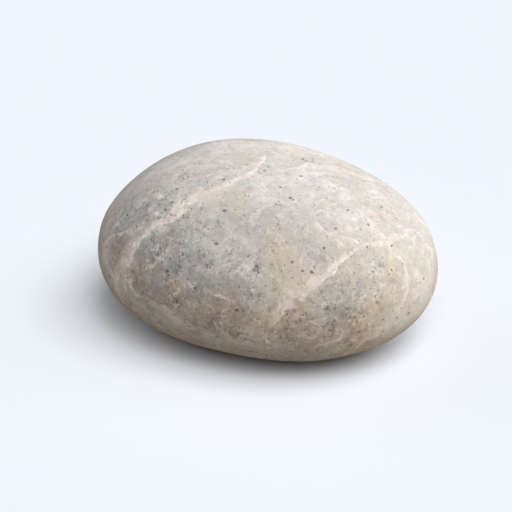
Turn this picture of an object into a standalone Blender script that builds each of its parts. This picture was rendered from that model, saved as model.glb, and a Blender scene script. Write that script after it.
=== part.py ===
"""River pebble: one water-worn stone, lying on its flattest side.

Metres, +Z up. The long axis runs along X and the broad axis along Y. The origin is the middle of
the stone's bounding box in X and Y, at the height of the worn base that it rests on.

The stone is a rolled blank, close to an ellipsoid, from which the river has worn broad soft
faces and a small flat base.
"""

import math
from typing import NamedTuple

import bmesh
import bpy
from mathutils import Matrix, Vector, noise

# The rolled blank, before it is worn.
LENGTH = 0.0800
WIDTH = 0.0632
CROWN_RISE = 0.0245  # from the widest level up to the top
BELLY_DROP = 0.0198  # from the widest level down to the underside

# How the blank departs from an ellipsoid.
FULLNESS = 2.13  # power of the superellipsoid: 2 is an ellipsoid, more is boxier
TAPER = 0.05  # share of its girth that the +X end loses and the -X end gains
LEAN = 0.047  # shift of the crown towards +X, for each unit of rise
PITCH = math.radians(2.3)  # how far the +X end lies below the -X end

# Broad swells, too low to see as lumps, that keep the outline from being a perfect oval.
SWELL_HEIGHT = 0.00018
SWELL_LENGTH = 0.022

# The base: a nearly flat patch, then a true flat where it meets the ground.
BASE_WEAR = 0.0010
BASE_REACH = 0.0022
BASE_CUT = 0.00012

SQUARES_PER_SIDE = 24  # the mesh is a cube's grid of squares blown up to a ball
CREASE_ANGLE = math.radians(30)
STONE_COLOUR = (0.47, 0.43, 0.38, 1.0)
STONE_ROUGHNESS = 0.62


class WornFace(NamedTuple):
    """A broad soft flat. Its outward normal is given in degrees round Z from +X, and up."""

    azimuth: float
    elevation: float
    depth: float  # most stone worn away, at the middle of the face
    reach: float  # how far below the stone's former surface the wear begins


LEFT_SHOULDER = WornFace(azimuth=-176, elevation=52, depth=0.00070, reach=0.0056)
BACK_SHOULDER = WornFace(azimuth=63, elevation=51, depth=0.00040, reach=0.0032)
FRONT_UNDERSIDE = WornFace(azimuth=-89, elevation=-61, depth=0.00042, reach=0.0032)
BACK_FLANK = WornFace(azimuth=108, elevation=-4, depth=0.00130, reach=0.0062)
BACK_HEEL = WornFace(azimuth=158, elevation=-36, depth=0.00080, reach=0.0045)
BACK_NOSE = WornFace(azimuth=52, elevation=-30, depth=0.00075, reach=0.0048)
WORN_FACES = (LEFT_SHOULDER, BACK_SHOULDER, FRONT_UNDERSIDE, BACK_FLANK, BACK_HEEL, BACK_NOSE)


def clear_scene():
    for obj in list(bpy.data.objects):
        bpy.data.objects.remove(obj, do_unlink=True)


def heading(azimuth, elevation):
    """The unit vector that points this many degrees round Z from +X, and this many up."""
    round_z = math.radians(azimuth)
    up = math.radians(elevation)
    return Vector((math.cos(round_z) * math.cos(up), math.sin(round_z) * math.cos(up), math.sin(up)))


def blank_point(direction):
    """Where the rolled blank's surface lies in this direction from its middle."""
    radius = sum(abs(part) ** FULLNESS for part in direction) ** (-1 / FULLNESS)
    along = direction.x * radius
    girth = 1 - TAPER * along
    rise = CROWN_RISE if direction.z > 0 else BELLY_DROP
    y = direction.y * radius * girth * WIDTH / 2
    z = direction.z * radius * girth * rise
    x = along * LENGTH / 2 + LEAN * z
    return Vector((x, y, z))


def ball(squares):
    """A unit ball as a bmesh, of a cube's grid of squares, which are all about one size."""
    stone = bmesh.new()
    bmesh.ops.create_cube(stone, size=2)
    bmesh.ops.subdivide_edges(stone, edges=stone.edges, cuts=squares - 1, use_grid_fill=True)
    for vert in stone.verts:
        even = Vector([math.tan(part * math.pi / 4) for part in vert.co])
        vert.co = even.normalized()
    return stone


def roll_blank(stone):
    """Turns the unit ball into the rolled blank, pitched as it lies, with its low swells."""
    lie = Matrix.Rotation(PITCH, 3, "Y")
    for vert in stone.verts:
        direction = vert.co.copy()
        point = lie @ blank_point(direction)
        swell = noise.noise(point / SWELL_LENGTH) * SWELL_HEIGHT
        vert.co = point + direction * swell


def wear_face(stone, normal, depth, reach):
    """Wears a soft flat across normal: all of depth at its middle, nothing at reach below it."""
    top = max(vert.co.dot(normal) for vert in stone.verts)
    for vert in stone.verts:
        share = 1 - (top - vert.co.dot(normal)) / reach
        if share > 0:
            vert.co -= normal * depth * share**2


def cut_base(stone):
    """Cuts the underside flat, and sets the stone down with its base at Z = 0 and its box centred."""
    lowest = min(vert.co.z for vert in stone.verts)
    bmesh.ops.bisect_plane(
        stone,
        geom=stone.verts[:] + stone.edges[:] + stone.faces[:],
        plane_co=(0, 0, lowest + BASE_CUT),
        plane_no=(0, 0, 1),
        clear_inner=True,
    )
    rim = [edge for edge in stone.edges if edge.is_boundary]
    bmesh.ops.contextual_create(stone, geom=rim)
    middle_x, middle_y = (
        (min(vert.co[axis] for vert in stone.verts) + max(vert.co[axis] for vert in stone.verts)) / 2
        for axis in (0, 1)
    )
    bmesh.ops.translate(stone, verts=stone.verts, vec=(-middle_x, -middle_y, -lowest - BASE_CUT))
    bmesh.ops.recalc_face_normals(stone, faces=stone.faces)


def stone_material():
    material = bpy.data.materials.new("stone")
    material.use_nodes = True
    shader = material.node_tree.nodes["Principled BSDF"]
    shader.inputs["Base Color"].default_value = STONE_COLOUR
    shader.inputs["Roughness"].default_value = STONE_ROUGHNESS
    shader.inputs["Metallic"].default_value = 0.0
    return material


def build_pebble():
    stone = ball(SQUARES_PER_SIDE)
    roll_blank(stone)
    for face in WORN_FACES:
        wear_face(stone, heading(face.azimuth, face.elevation), face.depth, face.reach)
    wear_face(stone, Vector((0, 0, -1)), BASE_WEAR, BASE_REACH)
    cut_base(stone)
    mesh = bpy.data.meshes.new("pebble")
    stone.to_mesh(mesh)
    stone.free()
    mesh.shade_smooth()
    mesh.set_sharp_from_angle(angle=CREASE_ANGLE)
    mesh.materials.append(stone_material())
    pebble = bpy.data.objects.new("pebble", mesh)
    bpy.context.scene.collection.objects.link(pebble)


clear_scene()
build_pebble()
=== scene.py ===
"""River pebble: the skin, veins and mottling of one water-worn stone on a pale studio floor.

Metres, +Z up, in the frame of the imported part: the stone's long axis is X, and it rests on Z = 0.
Lengths that belong to the stone's markings are in millimetres, and say so.
"""

import logging
import math
from collections.abc import Mapping, Sequence
from dataclasses import dataclass, field
from enum import Enum

import bpy
import numpy as np
from mathutils import Matrix, Vector
from mathutils.bvhtree import BVHTree
from mathutils.kdtree import KDTree


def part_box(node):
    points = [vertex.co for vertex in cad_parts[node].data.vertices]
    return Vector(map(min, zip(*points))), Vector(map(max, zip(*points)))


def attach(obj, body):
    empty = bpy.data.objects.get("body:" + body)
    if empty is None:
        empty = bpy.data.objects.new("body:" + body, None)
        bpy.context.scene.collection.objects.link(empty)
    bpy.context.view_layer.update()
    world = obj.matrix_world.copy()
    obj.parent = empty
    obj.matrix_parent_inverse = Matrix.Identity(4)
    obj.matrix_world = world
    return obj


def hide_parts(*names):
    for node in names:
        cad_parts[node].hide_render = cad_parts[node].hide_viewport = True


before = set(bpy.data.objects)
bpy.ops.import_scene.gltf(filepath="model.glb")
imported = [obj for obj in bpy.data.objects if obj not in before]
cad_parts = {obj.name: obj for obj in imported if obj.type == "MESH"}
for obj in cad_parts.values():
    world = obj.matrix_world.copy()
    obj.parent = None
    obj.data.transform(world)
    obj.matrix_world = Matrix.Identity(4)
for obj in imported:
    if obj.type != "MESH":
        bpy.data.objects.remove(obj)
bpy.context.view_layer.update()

MM = 0.001
VIEW_SIDE = 512  # the camera's picture is square, and places in it are counted in 512ths
MIDDLE = 0.5  # the middle of a noise's range
LOG = logging.getLogger("pebble")

Colour = tuple[float, float, float]
Shift = tuple[float, float, float]  # which part of an endless pattern is used, in metres
Span = tuple[float, float]  # where a value begins to show, and where it shows in full
Gain = tuple[float, float]  # the least that there is, and what is added to it at most

PALE: Colour = (0.905, 0.930, 0.982)  # the studio beyond the floor, and the floor's own glow


def shade(red: float, green: float, blue: float) -> Colour:
    """Turns a colour as it shows on a screen into the linear one that a shader takes.

    Args:
        red, green, blue: the screen colour, each from 0 to 255.

    Returns:
        The linear colour, each part from 0 to 1.
    """
    parts = (part / 255 for part in (red, green, blue))
    return tuple(p / 12.92 if p <= 0.04045 else ((p + 0.055) / 1.055) ** 2.4 for p in parts)


def heading(azimuth: float, elevation: float) -> Vector:
    """Gives a direction from its angles.

    Args:
        azimuth: degrees round Z, counted from +X towards +Y.
        elevation: degrees above the horizontal.

    Returns:
        The unit vector that points that way.
    """
    turn, rise = math.radians(azimuth), math.radians(elevation)
    return Vector((math.cos(turn) * math.cos(rise), math.sin(turn) * math.cos(rise), math.sin(rise)))


# ---------------------------------------------------------------- shader sheets


@dataclass(frozen=True)
class Cloud:
    """A cloudy noise; its length is in millimetres."""

    length: float  # about how long its largest clouds are
    detail: float = 2.0  # how many sets of finer clouds there are in them
    rough: float = 0.5  # how strong the finer ones are
    span: Span | None = None  # where it eases in, or None where it is used as it comes
    shift: Shift | None = None


@dataclass(frozen=True)
class Drift:
    """How places are moved about at random, in millimetres."""

    length: float  # about how far apart two places are that move their own ways
    by: float


class Wire:
    """A node's output, which lays down Math nodes when it is used in an expression."""

    def __init__(self, sheet: "Sheet", socket: bpy.types.NodeSocket) -> None:
        """Keeps the socket.

        Args:
            sheet: the sheet of nodes that the socket is on.
            socket: the output to carry on from.
        """
        self.sheet = sheet
        self.socket = socket

    def _math(self, operation: str, *terms: "Wire | float") -> "Wire":
        """Lays down one Math node over the terms."""
        return self.sheet.node("ShaderNodeMath", {"operation": operation}, dict(enumerate(terms)))

    def __add__(self, other: "Wire | float") -> "Wire":
        """Adds."""
        return self._math("ADD", self, other)

    def __sub__(self, other: "Wire | float") -> "Wire":
        """Takes away."""
        return self._math("SUBTRACT", self, other)

    def __rsub__(self, other: float) -> "Wire":
        """Takes this from a number."""
        return self._math("SUBTRACT", other, self)

    def __mul__(self, other: "Wire | float") -> "Wire":
        """Multiplies."""
        return self._math("MULTIPLY", self, other)

    def __truediv__(self, other: "Wire | float") -> "Wire":
        """Divides."""
        return self._math("DIVIDE", self, other)

    __radd__ = __add__
    __rmul__ = __mul__

    def beside(self, output: str) -> "Wire":
        """Carries on from another output of the same node."""
        return Wire(self.sheet, self.socket.node.outputs[output])

    def size(self) -> "Wire":
        """Drops the sign."""
        return self._math("ABSOLUTE", self)

    def most(self, other: "Wire | float") -> "Wire":
        """Takes the greater of the two."""
        return self._math("MAXIMUM", self, other)

    def spread(self, least: float, added: float) -> "Wire":
        """Turns 0 into the least, and 1 into the least and all that is added."""
        return least + added * self

    def ease(self, start: "Wire | float", end: "Wire | float") -> "Wire":
        """Goes smoothly from 0 to 1 as this goes from start to end.

        Args:
            start: where the result is 0, on either side of end.
            end: where the result is 1.

        Returns:
            The eased value, held at 0 and 1 outside.
        """
        filled = {"Value": self, "From Min": start, "From Max": end}
        return self.sheet.node("ShaderNodeMapRange", {"interpolation_type": "SMOOTHSTEP"}, filled)


def added(wires: Sequence[Wire]) -> Wire:
    """Adds Wires up, from the first to the last."""
    return sum(wires[1:], wires[0])


class Sheet:
    """A material's or world's sheet of nodes."""

    MIX_COLOUR = ("Factor_Float", "A_Color", "B_Color", "Result_Color")

    def __init__(self, tree: bpy.types.NodeTree) -> None:
        """Clears the sheet.

        Args:
            tree: the node tree to lay nodes on.
        """
        self.tree = tree
        tree.nodes.clear()

    def node(
        self,
        kind: str,
        settings: Mapping[str, object] | None = None,
        sockets: Mapping[str | int, object] | None = None,
        output: str | int = 0,
    ) -> Wire | None:
        """Lays down a node.

        Args:
            kind: the node's type.
            settings: its own settings, which are set before its sockets are filled.
            sockets: a value or a Wire for each input, by its name, identifier or place.
            output: which output to carry on from.

        Returns:
            That output, or None where the node has none.
        """
        made = self.tree.nodes.new(kind)
        for name, value in (settings or {}).items():
            setattr(made, name, value)
        for name, value in (sockets or {}).items():
            socket = self._find(made.inputs, name)
            if isinstance(value, Wire):
                self.tree.links.new(value.socket, socket)
            else:
                socket.default_value = value
        return Wire(self, self._find(made.outputs, output)) if len(made.outputs) else None

    @staticmethod
    def _find(sockets: bpy.types.bpy_prop_collection, name: str | int) -> bpy.types.NodeSocket:
        """Finds a socket by its place, identifier or name.

        Args:
            sockets: a node's inputs or outputs.
            name: which of them.

        Returns:
            The socket.
        """
        if isinstance(name, int):
            return sockets[name]
        return next((s for s in sockets if s.identifier == name), None) or sockets[name]

    def mix(self, base: Wire | Colour, over: Wire | Colour, share: Wire | float) -> Wire:
        """Lays one colour over another.

        Args:
            base: the colour underneath.
            over: the colour on top.
            share: how much of it covers, from 0 to 1.

        Returns:
            The mixed colour.
        """
        factor, lower, upper, result = self.MIX_COLOUR
        settings = {"data_type": "RGBA", "blend_type": "MIX", "clamp_factor": True}
        filled = {
            factor: share,
            lower: base if isinstance(base, Wire) else (*base, 1.0),
            upper: over if isinstance(over, Wire) else (*over, 1.0),
        }
        return self.node("ShaderNodeMix", settings, filled, result)

    def vector(self, operation: str, *terms: object, output: str | int = 0) -> Wire:
        """Lays down one Vector Math node over the terms.

        Args:
            operation: the node's operation.
            terms: its inputs in order, as Wires, vectors or numbers.
            output: which output to carry on from.

        Returns:
            That output.
        """
        filled = {}
        for place, term in enumerate(terms):
            filled["Scale" if operation == "SCALE" and place == 1 else place] = term
        return self.node("ShaderNodeVectorMath", {"operation": operation}, filled, output)

    def moved(self, place: Wire, shift: Shift | None) -> Wire:
        """Moves places to another part of an endless pattern, or leaves them with no shift."""
        return self.vector("ADD", place, shift) if shift else place

    def written(self, name: str, output: str = "Vector") -> Wire:
        """Reads an attribute that is written on the skin."""
        return self.node("ShaderNodeAttribute", {"attribute_name": name}, output=output)

    def cloud(self, place: Wire, cloud: Cloud, output: str = "Fac") -> Wire:
        """Lays down cloudy noise.

        Args:
            place: the places to lay it on.
            cloud: the noise.
            output: Fac for one number at each place, or Color for three.

        Returns:
            The noise, eased in where it has a span.
        """
        filled = {
            "Vector": self.moved(place, cloud.shift),
            "Scale": 1 / (cloud.length * MM),
            "Detail": cloud.detail,
            "Roughness": cloud.rough,
        }
        noise = self.node("ShaderNodeTexNoise", {"noise_dimensions": "3D"}, filled, output)
        return noise.ease(*cloud.span) if cloud.span else noise

    def ways(self, place: Wire, cloud: Cloud) -> Wire:
        """Gives each place a way of its own, at random."""
        return self.vector("SUBTRACT", self.cloud(place, cloud, "Color"), (MIDDLE, MIDDLE, MIDDLE))

    def drifted(self, place: Wire, drift: Drift) -> Wire:
        """Moves places about at random, so that what is laid on them looks grown and not drawn."""
        push = self.ways(place, Cloud(drift.length))
        return self.vector("ADD", place, self.vector("SCALE", push, 2 * drift.by * MM))


# ---------------------------------------------------------------- places on the stone


@dataclass(frozen=True)
class Camera:
    """The camera, which looks down on the stone's long side from a little round its narrow end."""

    azimuth: float = 24.0  # how far round it has gone from facing the long side
    elevation: float = 27.0
    distance: float = 0.300  # in metres, as the aim and the clip are
    lens: float = 90.9  # in millimetres, as the sensor is
    sensor: float = 36.0
    aim: tuple[float, float, float] = (-0.0019, -0.0016, 0.0187)
    clip: tuple[float, float] = (0.01, 400.0)

    def back(self) -> Vector:
        """Gives the unit vector from the stone to the camera."""
        return heading(self.azimuth - 90, self.elevation)

    def eye(self) -> Vector:
        """Gives where the camera stands."""
        return Vector(self.aim) + self.back() * self.distance

    def turn(self) -> Matrix:
        """Gives the camera's turn, as a matrix of its own right, up and back."""
        return (-self.back()).to_track_quat("-Z", "Y").to_matrix()

    def sight(self, across: float, down: float) -> Vector:
        """Gives the direction in which the camera sees a place of its picture.

        Args:
            across: the place, in 512ths of the picture from its left edge.
            down: the place, in 512ths from its top edge.

        Returns:
            The unit vector from the camera towards it.
        """
        step = self.sensor / self.lens / VIEW_SIDE
        ray = Vector(((across - VIEW_SIDE / 2) * step, (VIEW_SIDE / 2 - down) * step, -1))
        return (self.turn() @ ray).normalized()

    def set_up(self) -> None:
        """Makes the camera and gives it to the scene."""
        bpy.ops.object.camera_add(location=self.eye(), rotation=self.turn().to_euler())
        camera = bpy.context.object
        camera.name = "camera"
        camera.data.lens = self.lens
        camera.data.sensor_width = self.sensor
        camera.data.clip_start, camera.data.clip_end = self.clip
        bpy.context.scene.camera = camera


@dataclass(frozen=True)
class Seen:
    """A place on the stone where the camera sees it, with a vein's half width there."""

    across: float
    down: float
    half_width: float = 0.0


@dataclass(frozen=True)
class Facing:
    """A place on the stone by its direction from the stone's middle, with a vein's half width."""

    azimuth: float
    elevation: float
    half_width: float = 0.0


Place = Seen | Facing


def seen(*rows: tuple[float, float, float]) -> tuple[Seen, ...]:
    """Lists places by their rows of across, down and half width."""
    return tuple(Seen(*row) for row in rows)


def facing(*rows: tuple[float, float, float]) -> tuple[Facing, ...]:
    """Lists places by their rows of azimuth, elevation and half width."""
    return tuple(Facing(*row) for row in rows)


class Ground:
    """The stone's skin as something that marks are laid on."""

    def __init__(self, skin: bpy.types.Object, camera: Camera) -> None:
        """Reads the skin.

        Args:
            skin: the finished mesh.
            camera: the camera whose picture places are picked in.
        """
        mesh = skin.data
        self.mesh = mesh
        self.camera = camera
        self.points = np.zeros(len(mesh.vertices) * 3)
        mesh.vertices.foreach_get("co", self.points)
        self.points = self.points.reshape(-1, 3)
        self.normals = np.zeros(len(mesh.vertices) * 3)
        mesh.vertices.foreach_get("normal", self.normals)
        self.normals = self.normals.reshape(-1, 3)
        self.middle = Vector((self.points.min(0) + self.points.max(0)) / 2)
        self.tree = BVHTree.FromPolygons(self.points.tolist(), [tuple(f.vertices) for f in mesh.polygons])

    def under(self, place: Place) -> Vector:
        """Finds the point of the skin at a place.

        Args:
            place: where it is seen or which way it faces.

        Returns:
            The point on the skin.
        """
        if isinstance(place, Seen):
            start, way = self.camera.eye(), self.camera.sight(place.across, place.down)
        else:
            way = -heading(place.azimuth, place.elevation)
            start = self.middle - way
        hit = self.tree.ray_cast(start, way)[0]
        if hit is None:  # just past the edge of what is seen
            hit = self.tree.find_nearest(start + way * (self.middle - start).length)[0]
        return hit

    def write(self, name: str, kind: str, values: np.ndarray) -> None:
        """Writes a value at each vertex of the skin.

        Args:
            name: the attribute's name.
            kind: FLOAT or FLOAT_VECTOR.
            values: one number or one vector for each vertex.
        """
        attribute = self.mesh.attributes.new(name, kind, "POINT")
        part = "vector" if kind == "FLOAT_VECTOR" else "value"
        attribute.data.foreach_set(part, values.astype(np.float32).ravel())


# ---------------------------------------------------------------- the stone's skin


def alone(piece: bpy.types.Object) -> None:
    """Selects one object and nothing else.

    Args:
        piece: the object, which becomes the active one.
    """
    bpy.ops.object.select_all(action="DESELECT")
    piece.select_set(True)
    bpy.context.view_layer.objects.active = piece


@dataclass(frozen=True)
class Swell:
    """A run of low rises and hollows over the skin, in metres."""

    name: str
    height: float
    length: float
    depth: int  # how many sets of finer ones there are in it


@dataclass
class Skin:
    """The stone's skin: a ball of even squares, drawn onto the stone and worn by the river."""

    ball_levels: int = 5  # how often the cube that the ball comes from is halved
    levels: int = 2  # how often the skin is halved once it lies on the stone
    smoothing: float = 0.6
    smoothing_passes: int = 2
    base_height: float = 0.00007  # all that is lower than this is pressed flat
    swells: tuple[Swell, ...] = (
        Swell("dents", 0.00016, 0.0085, 1),
        Swell("ripples", 0.00005, 0.0028, 2),
    )

    def build(self, node: bpy.types.Object) -> bpy.types.Object:
        """Makes the skin.

        Args:
            node: the stone that the skin is drawn onto.

        Returns:
            The finished skin, at the origin.
        """
        skin = self._ball()
        self._draw_onto(skin, node)
        self._wear(skin)
        self._set_down(skin)
        bpy.ops.object.shade_smooth()
        return skin

    def _ball(self) -> bpy.types.Object:
        """Makes an oval ball of the stone's size out of a cube's grid of squares.

        Returns:
            The ball, at the origin.
        """
        low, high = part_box("pebble")
        middle, size = (low + high) / 2, high - low
        bpy.ops.object.select_all(action="DESELECT")
        bpy.ops.mesh.primitive_cube_add(size=1, location=middle)
        skin = bpy.context.object
        skin.name = skin.data.name = "pebble_skin"
        round_off = skin.modifiers.new("round_off", "SUBSURF")
        round_off.levels = round_off.render_levels = self.ball_levels
        bpy.ops.object.modifier_apply(modifier="round_off")
        bpy.ops.object.mode_set(mode="EDIT")
        bpy.ops.mesh.select_all(action="SELECT")
        bpy.ops.transform.tosphere(value=1.0)
        bpy.ops.object.mode_set(mode="OBJECT")
        width = max(vertex.co.length for vertex in skin.data.vertices) * 2
        bpy.ops.object.mode_set(mode="EDIT")
        bpy.ops.transform.resize(value=tuple(size / width), center_override=middle)
        bpy.ops.object.mode_set(mode="OBJECT")
        bpy.ops.object.transform_apply(location=True, rotation=True, scale=True)
        return skin

    def _draw_onto(self, skin: bpy.types.Object, node: bpy.types.Object) -> None:
        """Draws the skin onto the stone and evens out the stone's facets.

        Args:
            skin: the ball that becomes the skin.
            node: the stone.
        """
        alone(skin)
        wrap = skin.modifiers.new("wrap", "SHRINKWRAP")
        wrap.target = node
        wrap.wrap_method = "NEAREST_SURFACEPOINT"
        even = skin.modifiers.new("even", "LAPLACIANSMOOTH")
        even.lambda_factor = self.smoothing
        even.iterations = self.smoothing_passes
        even.use_volume_preserve = True
        refine = skin.modifiers.new("refine", "SUBSURF")
        refine.levels = refine.render_levels = self.levels
        for step in ("wrap", "even", "refine"):
            bpy.ops.object.modifier_apply(modifier=step)
        self._fill_box(skin)

    def _fill_box(self, skin: bpy.types.Object) -> None:
        """Gives back the trace of size that evening out took from the skin.

        Args:
            skin: the skin.
        """
        low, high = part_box("pebble")
        points = np.array([vertex.co for vertex in skin.data.vertices])
        grown = np.array(high - low) / (points.max(0) - points.min(0))
        bpy.ops.object.mode_set(mode="EDIT")
        bpy.ops.mesh.select_all(action="SELECT")
        bpy.ops.transform.resize(value=tuple(grown), center_override=(0, 0, 0))
        bpy.ops.transform.translate(value=(0, 0, -points.min(0)[2] * grown[2]))
        bpy.ops.object.mode_set(mode="OBJECT")

    def _wear(self, skin: bpy.types.Object) -> None:
        """Leaves the river's low dents and ripples on the skin.

        Args:
            skin: the skin.
        """
        for swell in self.swells:
            hollows = bpy.data.textures.new(swell.name, "CLOUDS")
            hollows.noise_scale = swell.length
            hollows.noise_depth = swell.depth
            press = skin.modifiers.new(swell.name, "DISPLACE")
            press.texture = hollows
            press.texture_coords = "LOCAL"
            press.mid_level = 0.5
            press.strength = swell.height
            bpy.ops.object.modifier_apply(modifier=swell.name)

    def _set_down(self, skin: bpy.types.Object) -> None:
        """Presses the worn base flat on the ground.

        Args:
            skin: the skin.
        """
        bpy.ops.object.mode_set(mode="EDIT")
        bpy.ops.mesh.select_mode(type="VERT")
        bpy.ops.mesh.select_all(action="DESELECT")
        bpy.ops.object.mode_set(mode="OBJECT")
        for vertex in skin.data.vertices:
            vertex.select = vertex.co.z < self.base_height
        bpy.ops.object.mode_set(mode="EDIT")
        bpy.ops.transform.resize(value=(1, 1, 0), center_override=(0, 0, 0))
        bpy.ops.object.mode_set(mode="OBJECT")


# ---------------------------------------------------------------- veins and patches


class Tint(Enum):
    """A kind of stone that shows as soft patches, by its attribute on the skin; some cream and chalk
    patches are painted rim light instead.
    """

    BLUE_GREY = "blue_grey"
    OCHRE = "ochre"
    BROWN = "brown"
    # cream stone, and also painted rim light: the paler left rim and lower right rim that the lights and
    # the floor's bounce give
    CREAM_AND_RIM_LIGHT = "cream_and_rim_light"
    # pale chalky stone, and also painted rim light: the paler strip along the top edge
    CHALK_AND_RIM_LIGHT = "chalk_and_rim_light"
    ROSE = "rose"
    GRAINY = "grainy"


@dataclass(frozen=True)
class Spot:
    """A patch or a fleck round one place; its reach is in millimetres."""

    place: Place
    reach: float
    strength: float


def spots(
    kind: type[Seen] | type[Facing], *rows: tuple[float, float, float, float]
) -> tuple[Spot, ...]:
    """Lists spots.

    Args:
        kind: how the rows give their places.
        rows: each spot's two numbers of place, its reach and its strength.

    Returns:
        The spots, in the same order.
    """
    return tuple(Spot(kind(first, second), reach, strength) for first, second, reach, strength in rows)


@dataclass(frozen=True)
class Vein:
    """A pale seam of mineral; the half widths along its route are in millimetres."""

    name: str
    layer: int
    strength: float
    fade: float  # over how many millimetres it dies away at each end
    route: tuple[Place, ...]


@dataclass(frozen=True)
class Trace:
    """A vein's line on the skin, in short even steps, all in millimetres."""

    points: np.ndarray
    ways: np.ndarray
    half_widths: np.ndarray
    strengths: np.ndarray


@dataclass
class Veining:
    """The net of veins, in layers, each with no two veins that cross."""

    veins: tuple[Vein, ...]
    step: float = 0.25  # about how long each step of a vein's line is, in millimetres
    finest: float = 0.02  # the least half width, in millimetres
    far: float = 6.0  # beyond this many millimetres a vein leaves no mark

    def layers(self) -> list[int]:
        """Lists the layers' numbers."""
        return sorted({vein.layer for vein in self.veins})

    @staticmethod
    def attribute(layer: int) -> str:
        """Names the skin's attribute for a layer."""
        return f"veins_{layer}"

    def lay(self, ground: Ground) -> None:
        """Writes on each layer the distance across the nearest vein, its half width and its strength.

        Args:
            ground: the skin.
        """
        for layer in self.layers():
            traces = [self._trace(vein, ground) for vein in self.veins if vein.layer == layer]
            ground.write(self.attribute(layer), "FLOAT_VECTOR", self._across(traces, ground))

    def _trace(self, vein: Vein, ground: Ground) -> Trace:
        """Draws a smooth line through a vein's route, on the skin, as a Catmull-Rom curve does.

        Args:
            vein: the vein.
            ground: the skin.

        Returns:
            The vein's line.
        """
        stops = np.array([ground.under(place) for place in vein.route]) / MM
        widths = np.array([place.half_width for place in vein.route])
        rows = np.column_stack([stops, widths])
        rows = np.vstack([2 * rows[0] - rows[1], rows, 2 * rows[-1] - rows[-2]])
        drawn = []
        for first, start, end, last in zip(rows, rows[1:], rows[2:], rows[3:]):
            count = max(2, int(np.linalg.norm(end[:3] - start[:3]) / self.step))
            share = np.linspace(0, 1, count, endpoint=False)[:, None]
            bend = 2 * first - 5 * start + 4 * end - last
            twist = -first + 3 * start - 3 * end + last
            drawn.append(start + share * ((end - first) + share * (bend + share * twist)) / 2)
        line = np.vstack([*drawn, rows[-2:-1]])
        points = np.array([ground.tree.find_nearest(Vector(p) * MM)[0] for p in line[:, :3]]) / MM
        ways = np.gradient(points, axis=0)
        ways /= np.linalg.norm(ways, axis=1)[:, None]
        along = np.concatenate([[0], np.cumsum(np.linalg.norm(np.diff(points, axis=0), axis=1))])
        ends = np.minimum(along, along[-1] - along) / vein.fade
        widths = np.maximum(line[:, 3], self.finest)
        return Trace(points, ways, widths, vein.strength * np.clip(ends, 0, 1))

    def _across(self, traces: Sequence[Trace], ground: Ground) -> np.ndarray:
        """Measures every vertex of the skin from the nearest of these lines.

        Args:
            traces: one layer's lines.
            ground: the skin.

        Returns:
            For each vertex the distance across the nearest line, that line's half width and its strength.
        """
        points = np.vstack([trace.points for trace in traces])
        ways = np.vstack([trace.ways for trace in traces])
        widths = np.concatenate([trace.half_widths for trace in traces])
        strengths = np.concatenate([trace.strengths for trace in traces])
        tree = KDTree(len(points))
        for place, point in enumerate(points):
            tree.insert(point, place)
        tree.balance()
        skin_points = ground.points / MM
        found = [tree.find(point) for point in skin_points]
        nearest = np.array([hit[1] for hit in found])
        gaps = np.array([hit[2] for hit in found])
        sideways = np.cross(ground.normals, ways[nearest])
        across = np.einsum("ij,ij->i", skin_points - points[nearest], sideways)
        there = np.clip(2 * (1 - gaps / self.far), 0, 1)  # in full up to half way there
        return np.column_stack([across, widths[nearest], strengths[nearest] * there])


@dataclass
class Patching:
    """The soft patches of differently coloured stone; some of the cream and chalk ones are painted rim
    light.
    """

    patches: Mapping[Tint, tuple[Spot, ...]]

    def lay(self, ground: Ground) -> None:
        """Writes how much of each tint there is at each vertex of the skin, painted rim light included.

        Args:
            ground: the skin.
        """
        for tint in Tint:
            amount = np.zeros(len(ground.points))
            for patch in self.patches[tint]:
                gap = np.linalg.norm(ground.points - np.array(ground.under(patch.place)), axis=1)
                amount += patch.strength * np.exp(-((gap / (patch.reach * MM)) ** 2))
            ground.write(tint.value, "FLOAT", np.clip(amount, 0, 1))


@dataclass
class Flecking:
    """The flecks that stand out, in layers, each with no two flecks close together."""

    flecks: tuple[Spot, ...]
    apart: float = 3.0  # how many millimetres at least lie between the flecks of one layer

    @staticmethod
    def attributes(layer: int) -> tuple[str, str]:
        """Names the skin's attributes for a layer: the way from its flecks, and their sizes."""
        return f"fleck_ways_{layer}", f"fleck_sizes_{layer}"

    def lay(self, ground: Ground) -> int:
        """Writes on each layer how far the nearest fleck lies, its reach and its darkness.

        Args:
            ground: the skin.

        Returns:
            How many layers there are.
        """
        layers: list[list[tuple[Vector, Spot]]] = []
        for fleck in self.flecks:
            point = ground.under(fleck.place) / MM
            free = (held for held in layers if all((point - at).length > self.apart for at, _ in held))
            layer = next(free, None)
            if layer is None:
                layers.append(layer := [])
            layer.append((point, fleck))
        skin_points = ground.points / MM
        for number, layer in enumerate(layers):
            tree = KDTree(len(layer))
            for place, (point, _) in enumerate(layer):
                tree.insert(point, place)
            tree.balance()
            found = [tree.find(point) for point in skin_points]
            nearest = [layer[hit[1]][1] for hit in found]
            gaps = np.array([hit[2] for hit in found])
            there = np.clip(2 - 4 * gaps / self.apart, 0, 1)  # gone at half the way to the next
            ways, sizes = self.attributes(number)
            ground.write(ways, "FLOAT_VECTOR", skin_points - np.array([hit[0] for hit in found]))
            reaches = np.array([fleck.reach for fleck in nearest])
            shades = np.array([fleck.strength for fleck in nearest]) * there
            rest = np.zeros(len(reaches))  # a vector has three parts
            ground.write(sizes, "FLOAT_VECTOR", np.column_stack([reaches, shades, rest]))
        return len(layers)


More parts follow.
